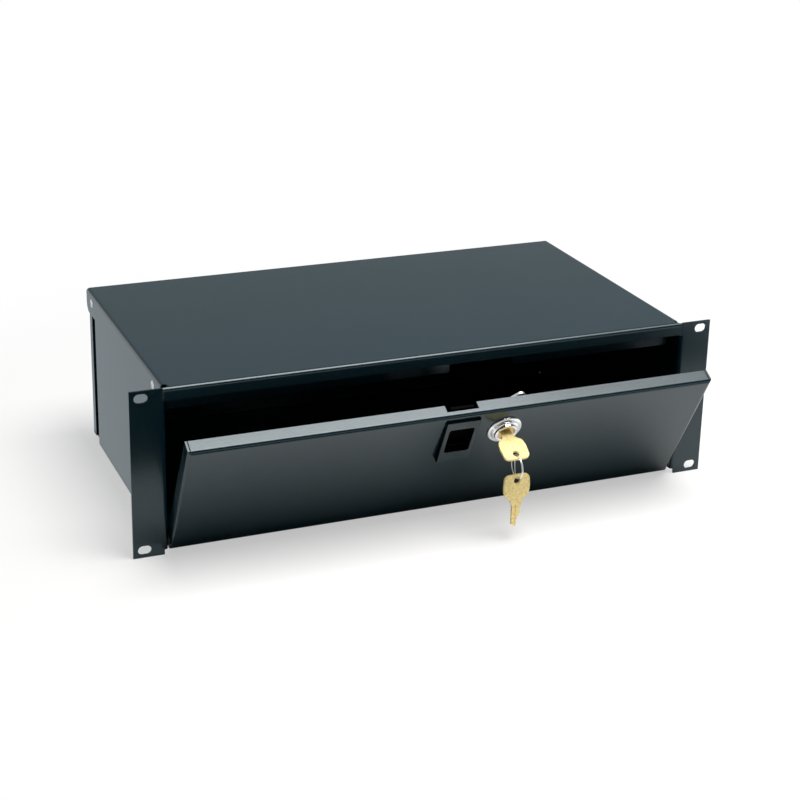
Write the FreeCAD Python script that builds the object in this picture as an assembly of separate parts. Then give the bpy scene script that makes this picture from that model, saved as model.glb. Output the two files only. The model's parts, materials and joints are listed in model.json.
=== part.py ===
# Rack lockbox: a three-unit steel case with rack ears, a bottom-hinged front door,
# a thumb slide latch and a keyed cam lock with its two keys on a ring.
# Millimetres: X across the rack, Y into the rack, Z up. The origin is the centre of the
# rack-hole pattern, on the ears' rear faces. The door rests partly open.
import FreeCAD
import Part
import math
import os

# Sheet metal
SHEET = 1.5
BEND = 1.5
RELIEF = 1.0
CORNER_RELIEF = 3.4
CORNER_RELIEF_SETBACK = 5.0

# Rack panel
PANEL_WIDTH = 482.6
PANEL_HEIGHT = 132.5
EAR_WIDTH = 25.4
HOLE_INSET_X = 8.75
HOLE_INSET_Z = 5.925
SLOT_LENGTH = 10.3
SLOT_WIDTH = 7.1

# Case shell
CASE_DEPTH = 241.3
LIP_HEIGHT = 10.0
LIP_END_GAP = 0.25
LEDGE_WIDTH = 20.0
LEDGE_SETBACK = 15.0
SIDE_SETBACK = 28.0
TAB_HEIGHT = 19.0
TAB_RADIUS = 8.0

# Floor pan
PAN_SIDE_GAP = 0.4
BACK_FLANGE = 11.0
BACK_TOP_FLANGE = 12.0
PAN_TAB_LENGTH = 26.0

# Strike rail
RAIL_SETBACK = 14.5
RAIL_DROP = 21.0
RAIL_FLANGE = 12.0
RAIL_END_GAP = 4.4
RAIL_TAB_LENGTH = 22.0
RAIL_TAB_HEIGHT = 8.0
RAIL_RIVET_SETBACK = 15.0
CAM_NOTCH_WIDTH = 54.0
CAM_NOTCH_HEIGHT = 7.3
CAM_NOTCH_OFFSET = 5.5

# Blind rivets
RIVET_SHANK = 3.2
RIVET_HEAD = 7.2
RIVET_DOME = 0.8
RIVET_TAIL = 4.8
RIVET_TAIL_LENGTH = 2.4
RIVET_BORE = 1.8
RIVET_BORE_DEPTH = 0.5
RIVET_HOLE_GAP = 0.05
REAR_RIVET_INSET = 18.0
REAR_RIVET_DROP = 8.0

# Door
DOOR_ANGLE = 29.5
DOOR_SIDE_GAP = 1.5
DOOR_TOP_GAP = 2.3
DOOR_BASE_GAP = 3.0
DOOR_FLANGE = 11.3
DOOR_FOOT = 10.0
DOOR_SEAM = 0.8

# Hinge
PIVOT_SETBACK = 6.0
PIVOT_HEIGHT = 9.0
PIN_DIAMETER = 5.0
PIN_RUN_GAP = 0.05
PIN_GROOVE_DEPTH = 0.5
PIN_END = 1.2
PIN_CHAMFER = 0.4
SPACER_DIAMETER = 9.0
SPACER_RUN_GAP = 0.3
CLIP_DIAMETER = 7.2
CLIP_THICKNESS = 0.8
CLIP_MOUTH = 3.2
CLIP_RUN_GAP = 0.3

# Slide latch
LATCH_WIDTH = 28.0
LATCH_HEIGHT = 44.0
LATCH_DROP = 5.2
LATCH_RAISE_TOP = 2.0
LATCH_RAISE_BASE = 4.5
LATCH_EDGE = 0.7
FINGER_WIDTH = 20.4
FINGER_HEIGHT = 25.0
FINGER_DROP = 8.4
FINGER_RADIUS = 2.0
HOUSING_WIDTH = 23.6
HOUSING_WALL = 1.3
HOUSING_DEPTH = 10.0
HOUSING_TOP_INSET = 3.0
HOUSING_BASE_INSET = 4.0
CUTOUT_GAP = 0.1
SLIDER_GAP = 0.2
SLIDER_STOP_GAP = 0.3
SLIDER_THICKNESS = 3.2
SLIDER_BACK_GAP = 0.6
LATCH_TRAVEL = 4.5
BOLT_WIDTH = 19.2
BOLT_RISE = 1.0
BOLT_BEVEL = 1.2
LEDGE_GRIP_HEIGHT = 2.4
LEDGE_GRIP_LIFT = 0.6
LEDGE_GRIP_SETBACK = 1.2
BACKPLATE_THICKNESS = 1.0
BACKPLATE_MARGIN = 1.6
BOLT_NOTCH_WIDTH = 26.0
BOLT_NOTCH_SETBACK = 5.0

# Cam lock, with depths counted from the door's outer face
LOCK_X = 38.1
LOCK_DROP = 24.0
LOCK_THREAD = 19.0
LOCK_FLATS = 16.0
LOCK_HOLE_GAP = 0.1
LOCK_LENGTH = 16.5
TRIM_DIAMETER = 28.0
TRIM_THICKNESS = 1.6
TRIM_CHAMFER = 0.6
HEAD_DIAMETER = 22.6
HEAD_RIM = 1.6
HEAD_HEIGHT = 3.4
HEAD_STEP = 19.4
HEAD_FACE = 18.0
LOCK_NUT_FLATS = 23.0
LOCK_NUT_HEIGHT = 4.0
LOCK_WASHER_DIAMETER = 25.0
LOCK_WASHER_THICKNESS = 0.8
PLUG_DIAMETER = 12.5
PLUG_RUN_GAP = 0.05
PLUG_COLLAR = 14.0
PLUG_COLLAR_DEPTH = 1.2
PLUG_RECESS = 1.6
PLUG_END_GAP = 0.2
KEYWAY_GAP = 0.15
KEYWAY_END_GAP = 0.3
CAM_TURN = 52.0

# Wafers in the plug
WAFER_COUNT = 5
WAFER_PITCH = 2.2
WAFER_FIRST = 2.0
WAFER_THICKNESS = 1.0
WAFER_WIDTH = 6.8
WAFER_GAP = 0.05
WAFER_WINDOW_GAP = 0.3
WAFER_LUG = 1.6
WAFER_LUG_THICKNESS = 1.0
WAFER_SPRING_LENGTH = 3.0
WAFER_SPRING_DIAMETER = 0.9
WAFER_SPRING_WIRE = 0.22
SHELL_GROOVE_DEPTH = 1.2

# Cam and its fastening
TAIL_SQUARE = 7.0
TAIL_GAP = 0.05
STOP_WASHER_THICKNESS = 0.8
STOP_WASHER_DIAMETER = 17.0
STOP_TAB_WIDTH = 4.0
STOP_TAB_REACH = 2.5
CAM_LENGTH = 26.0
CAM_WIDTH = 9.0
CAM_HUB = 16.0
CAM_THICKNESS = 2.2
CAM_TIP_RADIUS = 4.0
CAM_WASHER_DIAMETER = 11.0
CAM_WASHER_THICKNESS = 0.8
SCREW_SHANK = 4.0
SCREW_LENGTH = 3.8
SCREW_HEAD = 8.0
SCREW_HEAD_HEIGHT = 2.6
SCREW_SLOT_WIDTH = 1.2
SCREW_SLOT_DEPTH = 1.3
SCREW_HOLE_GAP = 0.05

# Keys and ring
KEY_THICKNESS = 2.0
BLADE_HEIGHT = 7.6
BLADE_LENGTH = 18.0
BLADE_TIP = 1.8
BOW_LENGTH = 24.6
BOW_WIDTH = 22.0
BOW_MIDDLE = 13.0
BOW_SHOULDER = 7.4
BOW_SHOULDER_WIDTH = 19.8
BOW_END_WIDTH = 20.2
BOW_CROWN = 0.4
BOW_NECK = 4.2
BOW_NECK_WIDTH = 10.8
BOW_ROOT_WIDTH = 8.2
BOW_ROOT_RADIUS = 0.5
BOW_NECK_RADIUS = 1.5
BOW_SHOULDER_RADIUS = 3.5
BOW_SIDE_RADIUS = 20.0
BOW_END_RADIUS = 4.0
BOW_CROWN_RADIUS = 50.0
BOW_HOLE = 5.4
BOW_WEB = 2.2
BOW_SEAT_GAP = 1.8
KEY_GROOVE_WIDTH = 1.3
KEY_GROOVE_DEPTH = 0.45
KEY_CUT_DEPTHS = (1.0, 1.7, 3.0, 3.9, 3.7)
KEY_CUT_FLAT = 1.2
RING_DIAMETER = 18.0
RING_WIRE = 0.9
RING_HANG = 1.75
SPARE_HANG_GAP = 0.25

# Places worked out from the sizes
CASE_WIDTH = PANEL_WIDTH - 2 * EAR_WIDTH
HOLE_SPAN_X = PANEL_WIDTH - 2 * HOLE_INSET_X
HOLE_SPAN_Z = PANEL_HEIGHT - 2 * HOLE_INSET_Z
ROUND = BEND + SHEET
FRONT = -SHEET
REAR = FRONT + CASE_DEPTH
BASE = -PANEL_HEIGHT / 2
TOP = PANEL_HEIGHT / 2
SIDE = CASE_WIDTH / 2
WALL = SIDE - SHEET
CEILING = TOP - SHEET
LIP_EDGE = TOP - LIP_HEIGHT
RAIL_Y = FRONT + RAIL_SETBACK
RAIL_BASE = CEILING - RAIL_DROP
RAIL_TAB_TOP = CEILING - ROUND
RAIL_RIVET_Y = RAIL_Y + RAIL_RIVET_SETBACK
RAIL_RIVET_Z = RAIL_TAB_TOP - RAIL_TAB_HEIGHT / 2
REAR_RIVET_Y = REAR - REAR_RIVET_INSET
REAR_RIVET_Z = TOP - REAR_RIVET_DROP
PIVOT_Y = FRONT + PIVOT_SETBACK
PIVOT_Z = BASE + PIVOT_HEIGHT
DOOR_SIDE = WALL - DOOR_SIDE_GAP
DOOR_TOP = LIP_EDGE - DOOR_TOP_GAP
DOOR_BASE = BASE + DOOR_BASE_GAP
LATCH_TOP = DOOR_TOP - LATCH_DROP
LATCH_BASE = LATCH_TOP - LATCH_HEIGHT
FINGER_TOP = LATCH_TOP - FINGER_DROP
FINGER_BASE = FINGER_TOP - FINGER_HEIGHT
HOUSING_TOP = LATCH_TOP - HOUSING_TOP_INSET
HOUSING_BASE = LATCH_BASE + HOUSING_BASE_INSET
HOUSING_BACK = FRONT + HOUSING_DEPTH
SLIDER_BACK = HOUSING_BACK - SLIDER_BACK_GAP
SLIDER_FRONT = SLIDER_BACK - SLIDER_THICKNESS
LOCK_Z = DOOR_TOP - LOCK_DROP
HEAD_FRONT = -TRIM_THICKNESS - HEAD_HEIGHT
PLUG_FRONT = HEAD_FRONT + PLUG_RECESS
PLUG_END = LOCK_LENGTH + PLUG_END_GAP
CAM_FRONT = PLUG_END + STOP_WASHER_THICKNESS
CAM_BACK = CAM_FRONT + CAM_THICKNESS
SCREW_SEAT = CAM_BACK + CAM_WASHER_THICKNESS
BOW_SEAT = PLUG_FRONT - BOW_SEAT_GAP
BOW_HOLE_INSET = BOW_WEB + BOW_HOLE / 2
WEB_DEPTH = BOW_SEAT - BOW_LENGTH + BOW_WEB / 2

ACROSS = FreeCAD.Vector(1, 0, 0)
INWARD = FreeCAD.Vector(0, 1, 0)
UPWARD = FreeCAD.Vector(0, 0, 1)
CENTRE = FreeCAD.Vector(0, 0, 0)


def vector(x, y, z):
    return FreeCAD.Vector(x, y, z)


# Ways to lift a flat drawing into space
def side_view(x):
    return lambda y, z: vector(x, y, z)


def front_view(y):
    return lambda x, z: vector(x, y, z)


def top_view(z):
    return lambda x, y: vector(x, y, z)


def direction(start, end):
    length = math.hypot(end[0] - start[0], end[1] - start[1])
    return ((end[0] - start[0]) / length, (end[1] - start[1]) / length)


def moved_left(points, distance):
    """Points of an open line moved square to its left."""
    ways = [direction(a, b) for a, b in zip(points, points[1:])]
    ways = [ways[0]] + ways + [ways[-1]]
    moved = []
    for point, into, out in zip(points, ways, ways[1:]):
        share = distance / (1 + into[0] * out[0] + into[1] * out[1])
        moved.append((point[0] - (into[1] + out[1]) * share, point[1] + (into[0] + out[0]) * share))
    return moved


def rounded_edges(points, radii, lift):
    """Edges of an open line with an arc at each of its corners."""
    edges = []
    start = points[0]
    for before, corner, after, radius in zip(points, points[1:], points[2:], radii):
        into = direction(before, corner)
        out = direction(corner, after)
        half_turn = math.acos(into[0] * out[0] + into[1] * out[1]) / 2
        reach = radius * math.tan(half_turn)
        bulge = radius / math.cos(half_turn) - radius
        inward = direction(into, out)
        first = (corner[0] - into[0] * reach, corner[1] - into[1] * reach)
        middle = (corner[0] + inward[0] * bulge, corner[1] + inward[1] * bulge)
        last = (corner[0] + out[0] * reach, corner[1] + out[1] * reach)
        edges.append(Part.LineSegment(lift(*start), lift(*first)).toShape())
        edges.append(Part.Arc(lift(*first), lift(*middle), lift(*last)).toShape())
        start = last
    edges.append(Part.LineSegment(lift(*start), lift(*points[-1])).toShape())
    return edges


def bent_sheet(points, lift, sweep):
    """Sheet folded along an open line, its thickness on the line's left."""
    left_points = moved_left(points, SHEET)
    right_radii = []
    left_radii = []
    for before, corner, after in zip(points, points[1:], points[2:]):
        into = direction(before, corner)
        out = direction(corner, after)
        turns_left = into[0] * out[1] - into[1] * out[0] > 0
        right_radii.append(ROUND if turns_left else BEND)
        left_radii.append(BEND if turns_left else ROUND)
    edges = rounded_edges(points, right_radii, lift)
    edges += rounded_edges(left_points, left_radii, lift)
    edges.append(Part.LineSegment(lift(*points[0]), lift(*left_points[0])).toShape())
    edges.append(Part.LineSegment(lift(*points[-1]), lift(*left_points[-1])).toShape())
    wire = Part.Wire(Part.sortEdges(edges)[0])
    return Part.Face(wire).extrude(sweep)


def rounded_prism(points, radii, lift, sweep):
    """Prism on a closed outline with rounded corners."""
    first, last = points[0], points[-1]
    seam = ((first[0] + last[0]) / 2, (first[1] + last[1]) / 2)
    edges = rounded_edges([seam] + list(points) + [seam], radii, lift)
    return Part.Face(Part.Wire(edges)).extrude(sweep)


def prism(points, lift, sweep):
    corners = [lift(*point) for point in points]
    return Part.Face(Part.makePolygon(corners + corners[:1])).extrude(sweep)


def block(x_ends, y_ends, z_ends):
    size = [end[1] - end[0] for end in (x_ends, y_ends, z_ends)]
    return Part.makeBox(*size, vector(x_ends[0], y_ends[0], z_ends[0]))


def turned(points, origin, axis):
    """Solid of revolution from (distance along the axis, radius) points."""
    corners = [vector(along, radius, 0) for along, radius in points]
    face = Part.Face(Part.makePolygon(corners + corners[:1]))
    solid = face.revolve(CENTRE, ACROSS, 360)
    solid.Placement = FreeCAD.Placement(origin, FreeCAD.Rotation(ACROSS, axis))
    return solid


def washer(bore, outside, start, thickness, origin, axis):
    end = start + thickness
    ring = [(start, bore / 2), (start, outside / 2), (end, outside / 2), (end, bore / 2)]
    return turned(ring, origin, axis)


def rod(diameter, start, end, origin, axis):
    return turned([(start, 0), (start, diameter / 2), (end, diameter / 2), (end, 0)], origin, axis)


def rounded_box(half, flat_ends, face, z_ends):
    """Box across the case whose top and bottom edges at its face are rounded as a bend is."""
    low = z_ends[0] + ROUND
    high = z_ends[1] - ROUND
    deep = (min(flat_ends[0], face), max(flat_ends[1], face))
    return joined([
        block((-half, half), deep, (low, high)),
        block((-half, half), flat_ends, z_ends),
        rod(2 * ROUND, -half, half, vector(0, bend_middle(flat_ends, face), low), ACROSS),
        rod(2 * ROUND, -half, half, vector(0, bend_middle(flat_ends, face), high), ACROSS),
    ])


def bend_middle(flat_ends, face):
    return flat_ends[0] if face < flat_ends[0] else flat_ends[1]


def joined(shapes):
    return shapes[0].multiFuse(shapes[1:]).removeSplitter()


def mirrored(shape):
    return shape.mirror(CENTRE, ACROSS)


def both_sides(shape):
    return [shape, mirrored(shape)]


def in_lock(depth):
    """Point on the lock's axis at a depth behind the door's outer face, door shut."""
    return vector(LOCK_X, FRONT + depth, LOCK_Z)


def turned_with_cam(shape):
    """Copy of a piece drawn with the cam upright, turned to the cam's resting place."""
    copy = shape.copy()
    copy.rotate(in_lock(0), INWARD, CAM_TURN)
    return copy


def door_opened(shape):
    """Copy of a piece drawn on the shut door, moved to the resting door."""
    copy = shape.copy()
    copy.rotate(vector(0, PIVOT_Y, PIVOT_Z), ACROSS, DOOR_ANGLE)
    return copy


def opened_point(point):
    pivot = vector(0, PIVOT_Y, PIVOT_Z)
    return pivot + FreeCAD.Rotation(ACROSS, DOOR_ANGLE).multVec(point - pivot)


# Rivets that hold the case together
def rivet(origin, axis, grip):
    """Blind rivet whose head lies outside the origin and whose tail is bulbed."""
    head = RIVET_HEAD / 2
    bore = RIVET_BORE / 2
    shank = RIVET_SHANK / 2
    tail = RIVET_TAIL / 2
    slope = math.radians(45)
    outline = [
        (-RIVET_DOME + RIVET_BORE_DEPTH, 0),
        (-RIVET_DOME + RIVET_BORE_DEPTH, bore),
        (-RIVET_DOME, bore),
        (0, head),
        (0, shank),
        (grip, shank),
        (grip, tail),
        (grip + RIVET_TAIL_LENGTH, tail),
        (grip + RIVET_TAIL_LENGTH, 0),
    ]
    edges = []
    for start, end in zip(outline, outline[1:] + outline[:1]):
        a = vector(start[0], start[1], 0)
        b = vector(end[0], end[1], 0)
        if end == (0, head):
            crown = vector(-RIVET_DOME * math.sin(slope), bore + (head - bore) * math.cos(slope), 0)
            edges.append(Part.Arc(a, crown, b).toShape())
        else:
            edges.append(Part.LineSegment(a, b).toShape())
    solid = Part.Face(Part.Wire(edges)).revolve(CENTRE, ACROSS, 360)
    solid.Placement = FreeCAD.Placement(origin, FreeCAD.Rotation(ACROSS, axis))
    return solid


def rivet_hole(y, z):
    reach = SIDE + RELIEF
    return rod(RIVET_SHANK + 2 * RIVET_HOLE_GAP, -reach, reach, vector(0, y, z), ACROSS)


def wall_rivets(y, z):
    """A rivet through each side wall and the flange that lies against it."""
    return Part.makeCompound(both_sides(rivet(vector(SIDE, y, z), -ACROSS, 2 * SHEET)))


# The case
def ear():
    """Rack ear folded out of the right side wall, with its full-height plate."""
    low = BASE + ROUND + RELIEF
    high = LIP_EDGE - RELIEF
    fold = [(WALL, FRONT + ROUND + RELIEF), (WALL, FRONT), (PANEL_WIDTH / 2, FRONT)]
    folded = bent_sheet(fold, top_view(low), UPWARD * (high - low))
    plate = block((WALL + ROUND, PANEL_WIDTH / 2), (FRONT, 0), (BASE, TOP))
    tongue = block((SIDE, WALL + ROUND), (FRONT, 0), (high, TOP))
    return [folded, plate, tongue]


def rack_slots():
    straight = (SLOT_LENGTH - SLOT_WIDTH) / 2
    slots = []
    for x in (-HOLE_SPAN_X / 2, HOLE_SPAN_X / 2):
        for z in (-HOLE_SPAN_Z / 2, HOLE_SPAN_Z / 2):
            bar = block((x - straight, x + straight), (FRONT, 0), (z - SLOT_WIDTH / 2, z + SLOT_WIDTH / 2))
            ends = [rod(SLOT_WIDTH, FRONT, 0, vector(x + end, 0, z), INWARD) for end in (-straight, straight)]
            slots.append(joined([bar] + ends))
    return slots


def side_cutback():
    """Rear part of the left side that is cut away below the riveted tab."""
    tab = TOP - TAB_HEIGHT
    cut = block((-SIDE - RELIEF, -SIDE + LEDGE_WIDTH + RELIEF), (REAR - SIDE_SETBACK, REAR + RELIEF),
                (BASE - RELIEF, tab))
    corner = block((-SIDE, -WALL), (REAR - TAB_RADIUS, REAR), (tab, tab + TAB_RADIUS))
    round_end = vector(0, REAR - TAB_RADIUS, tab + TAB_RADIUS)
    corner = corner.cut(rod(2 * TAB_RADIUS, -SIDE, -WALL, round_end, ACROSS))
    return [cut, corner]


def corner_relief():
    """Round relief through the right top bend, where it meets the lip and the ear."""
    inset = ROUND + 2 * RELIEF
    start = vector(SIDE - inset, FRONT + CORNER_RELIEF_SETBACK, TOP - inset)
    return Part.makeCylinder(CORNER_RELIEF, 2 * inset, start, ACROSS + UPWARD)


def case_shell():
    start = FRONT + ROUND + RELIEF
    ledge = SIDE - LEDGE_WIDTH
    wrap_line = [(ledge, BASE), (SIDE, BASE), (SIDE, TOP), (-SIDE, TOP), (-SIDE, BASE), (-ledge, BASE)]
    wrap = bent_sheet(wrap_line, front_view(start), INWARD * (REAR - start))
    lip_half = SIDE - LIP_END_GAP
    lip_line = [(start, TOP), (FRONT, TOP), (FRONT, LIP_EDGE)]
    lip = bent_sheet(lip_line, side_view(-lip_half), ACROSS * (2 * lip_half))
    right_ear = ear()
    shell = joined([wrap, lip] + right_ear + [mirrored(piece) for piece in right_ear])
    foot = block((ledge - RELIEF, SIDE), (FRONT, FRONT + LEDGE_SETBACK), (BASE, BASE + ROUND + RELIEF))
    pin_hole = rod(PIN_DIAMETER, WALL - RELIEF, SIDE + RELIEF, vector(0, PIVOT_Y, PIVOT_Z), ACROSS)
    cuts = rack_slots() + side_cutback()
    for cut in (foot, corner_relief(), pin_hole):
        cuts += both_sides(cut)
    cuts.append(rivet_hole(RAIL_RIVET_Y, RAIL_RIVET_Z))
    cuts.append(rivet_hole(REAR_RIVET_Y, REAR_RIVET_Z))
    return shell.cut(cuts)


def floor_pan():
    """Floor and back in one folded sheet, with side flanges on the back."""
    half = WALL - BEND - PAN_SIDE_GAP
    floor = BASE + SHEET
    line = [(FRONT + LEDGE_SETBACK, floor), (REAR, floor), (REAR, CEILING), (REAR - BACK_TOP_FLANGE, CEILING)]
    pan = bent_sheet(line, side_view(-half), ACROSS * (2 * half))
    low = floor + BEND
    high = CEILING - BEND
    back_line = [(WALL, REAR - BACK_FLANGE), (WALL, REAR), (-WALL, REAR), (-WALL, REAR - BACK_FLANGE)]
    back = bent_sheet(back_line, top_view(low), UPWARD * (high - low))
    back = back.common(rounded_box(WALL, (REAR - BACK_FLANGE, REAR - ROUND), REAR, (floor, CEILING)))
    tab = block((WALL - SHEET, WALL), (REAR - PAN_TAB_LENGTH, REAR - ROUND),
                (TOP - TAB_HEIGHT + RELIEF, CEILING - BEND - RELIEF))
    beyond_pan = joined([back] + both_sides(tab)).cut(pan)
    return joined([pan, beyond_pan]).cut(rivet_hole(REAR_RIVET_Y, REAR_RIVET_Z))


def strike_rail():
    """Angle behind the lip that the lock's cam turns up behind."""
    half = WALL - RAIL_END_GAP
    line = [(RAIL_Y + RAIL_FLANGE, CEILING), (RAIL_Y, CEILING), (RAIL_Y, RAIL_BASE)]
    angle = bent_sheet(line, side_view(-half), ACROSS * (2 * half))
    tab_line = [(half - ROUND, RAIL_Y), (WALL, RAIL_Y), (WALL, RAIL_Y + RAIL_TAB_LENGTH)]
    tab_base = RAIL_TAB_TOP - RAIL_TAB_HEIGHT
    tab = bent_sheet(tab_line, top_view(tab_base), UPWARD * RAIL_TAB_HEIGHT)
    middle = LOCK_X + CAM_NOTCH_OFFSET
    notch = block((middle - CAM_NOTCH_WIDTH / 2, middle + CAM_NOTCH_WIDTH / 2),
                  (RAIL_Y, RAIL_Y + SHEET), (RAIL_BASE, RAIL_BASE + CAM_NOTCH_HEIGHT))
    rail = joined([angle] + both_sides(tab))
    return rail.cut([notch, rivet_hole(RAIL_RIVET_Y, RAIL_RIVET_Z)])


# The hinge
def hinge_places():
    """Distances from the case's middle to the hinge pieces, from the wall inwards."""
    spacer = DOOR_SIDE + SPACER_RUN_GAP
    clip = DOOR_SIDE - SHEET - CLIP_RUN_GAP
    return spacer, clip, clip - CLIP_THICKNESS, clip - CLIP_THICKNESS - PIN_END


def hinge_pins():
    spacer, clip, clip_end, end = hinge_places()
    radius = PIN_DIAMETER / 2
    groove = radius - PIN_GROOVE_DEPTH
    outline = [(SIDE, 0), (SIDE, radius), (clip, radius), (clip, groove), (clip_end, groove), (clip_end, radius),
               (end + PIN_CHAMFER, radius), (end, radius - PIN_CHAMFER), (end, 0)]
    pin = turned(outline, vector(0, PIVOT_Y, PIVOT_Z), ACROSS)
    return Part.makeCompound(both_sides(pin))


def hinge_spacers():
    spacer, clip, clip_end, end = hinge_places()
    bore = PIN_DIAMETER + 2 * PIN_RUN_GAP
    ring = washer(bore, SPACER_DIAMETER, spacer, WALL - spacer, vector(0, PIVOT_Y, PIVOT_Z), ACROSS)
    return Part.makeCompound(both_sides(ring))


def hinge_clips():
    spacer, clip, clip_end, end = hinge_places()
    bore = PIN_DIAMETER - 2 * PIN_GROOVE_DEPTH
    ring = washer(bore, CLIP_DIAMETER, clip_end, CLIP_THICKNESS, vector(0, PIVOT_Y, PIVOT_Z), ACROSS)
    mouth = block((clip_end, clip), (PIVOT_Y, PIVOT_Y + CLIP_DIAMETER),
                  (PIVOT_Z - CLIP_MOUTH / 2, PIVOT_Z + CLIP_MOUTH / 2))
    return Part.makeCompound(both_sides(ring.cut(mouth)))


# The door, drawn shut
def door_panel():
    """Tray-shaped door with folded edges, latch and lock cut-outs and pivot holes."""
    back = FRONT + DOOR_FLANGE
    fold_half = DOOR_SIDE - SHEET - DOOR_SEAM
    low = DOOR_BASE + ROUND
    high = DOOR_TOP - ROUND
    head_line = [(back, DOOR_TOP), (FRONT, DOOR_TOP), (FRONT, high - RELIEF)]
    foot_line = [(FRONT, low + RELIEF), (FRONT, DOOR_BASE), (FRONT + DOOR_FOOT, DOOR_BASE)]
    head = bent_sheet(head_line, side_view(-fold_half), ACROSS * (2 * fold_half))
    foot = bent_sheet(foot_line, side_view(-fold_half), ACROSS * (2 * fold_half))
    side_line = [(-DOOR_SIDE, back), (-DOOR_SIDE, FRONT), (DOOR_SIDE, FRONT), (DOOR_SIDE, back)]
    tray = bent_sheet(side_line, top_view(DOOR_BASE), UPWARD * (DOOR_TOP - DOOR_BASE))
    tray = tray.common(rounded_box(DOOR_SIDE, (FRONT + ROUND, back), FRONT, (DOOR_BASE, DOOR_TOP)))
    panel = joined([head, foot, tray])
    notch_half = BOLT_NOTCH_WIDTH / 2
    notch = block((-notch_half, notch_half), (FRONT + BOLT_NOTCH_SETBACK, back), (DOOR_TOP - SHEET, DOOR_TOP))
    window_half = HOUSING_WIDTH / 2 + CUTOUT_GAP
    window = block((-window_half, window_half), (FRONT, FRONT + SHEET),
                   (HOUSING_BASE - CUTOUT_GAP, HOUSING_TOP + CUTOUT_GAP))
    lock_hole = rod(LOCK_THREAD + 2 * LOCK_HOLE_GAP, 0, SHEET, in_lock(0), INWARD)
    flat = LOCK_FLATS / 2 + LOCK_HOLE_GAP
    lock_hole = lock_hole.common(block((LOCK_X - flat, LOCK_X + flat), (FRONT, FRONT + SHEET), (DOOR_BASE, DOOR_TOP)))
    reach = DOOR_SIDE + RELIEF
    pivots = rod(PIN_DIAMETER + 2 * PIN_RUN_GAP, -reach, reach, vector(0, PIVOT_Y, PIVOT_Z), ACROSS)
    return panel.cut([notch, window, lock_hole, pivots])


# The slide latch, drawn on the shut door
def latch_frame():
    """Sloping bezel with a finger window, and the housing that guides the slider."""
    half = LATCH_WIDTH / 2
    slope = [(FRONT, LATCH_BASE), (FRONT, LATCH_TOP),
             (FRONT - LATCH_RAISE_TOP, LATCH_TOP), (FRONT - LATCH_RAISE_BASE, LATCH_BASE)]
    bezel = prism(slope, side_view(-half), ACROSS * LATCH_WIDTH)
    rim = [edge for edge in bezel.Edges if edge.BoundBox.YMax < FRONT]
    bezel = bezel.makeChamfer(LATCH_EDGE, rim)
    outer = HOUSING_WIDTH / 2
    inner = outer - HOUSING_WALL
    housing = block((-outer, outer), (FRONT, HOUSING_BACK), (HOUSING_BASE, HOUSING_TOP))
    cavity = block((-inner, inner), (FRONT, HOUSING_BACK), (HOUSING_BASE + HOUSING_WALL, HOUSING_TOP - HOUSING_WALL))
    bolt_half = BOLT_WIDTH / 2 + SLIDER_GAP
    mouth = block((-bolt_half, bolt_half), (SLIDER_FRONT - SLIDER_GAP, HOUSING_BACK),
                  (HOUSING_TOP - HOUSING_WALL, HOUSING_TOP))
    finger = FINGER_WIDTH / 2
    corners = [(-finger, FINGER_BASE), (finger, FINGER_BASE), (finger, FINGER_TOP), (-finger, FINGER_TOP)]
    window = rounded_prism(corners, [FINGER_RADIUS] * 4, front_view(FRONT - LATCH_RAISE_BASE),
                           INWARD * LATCH_RAISE_BASE)
    return joined([bezel, housing.cut([cavity, mouth])]).cut(window)


def latch_slider():
    """Slider with a finger grip and the bolt that rises behind the lip."""
    inner = HOUSING_WIDTH / 2 - HOUSING_WALL - SLIDER_GAP
    low = HOUSING_BASE + HOUSING_WALL + SLIDER_STOP_GAP
    shoulder = HOUSING_TOP - HOUSING_WALL - LATCH_TRAVEL - SLIDER_GAP
    tip = DOOR_TOP + BOLT_RISE
    body = block((-inner, inner), (SLIDER_FRONT, SLIDER_BACK), (low, shoulder))
    bolt_line = [(SLIDER_FRONT, shoulder), (SLIDER_BACK, shoulder), (SLIDER_BACK, tip - BOLT_BEVEL),
                 (SLIDER_BACK - BOLT_BEVEL, tip), (SLIDER_FRONT, tip)]
    bolt = prism(bolt_line, side_view(-BOLT_WIDTH / 2), ACROSS * BOLT_WIDTH)
    grip_half = FINGER_WIDTH / 2 - SLIDER_GAP
    grip_base = FINGER_BASE + LEDGE_GRIP_LIFT
    grip = block((-grip_half, grip_half), (FRONT + LEDGE_GRIP_SETBACK, SLIDER_FRONT),
                 (grip_base, grip_base + LEDGE_GRIP_HEIGHT))
    return joined([body, bolt, grip])


def latch_backplate():
    half = HOUSING_WIDTH / 2 + BACKPLATE_MARGIN
    return block((-half, half), (HOUSING_BACK, HOUSING_BACK + BACKPLATE_THICKNESS),
                 (HOUSING_BASE - BACKPLATE_MARGIN, HOUSING_TOP))


# The cam lock, drawn on the shut door
def lock_trim():
    bore = LOCK_THREAD / 2 + LOCK_HOLE_GAP
    edge = TRIM_DIAMETER / 2
    outline = [(0, bore), (0, edge), (-TRIM_THICKNESS + TRIM_CHAMFER, edge),
               (-TRIM_THICKNESS, edge - TRIM_CHAMFER), (-TRIM_THICKNESS, bore)]
    return turned(outline, in_lock(0), INWARD)


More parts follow.
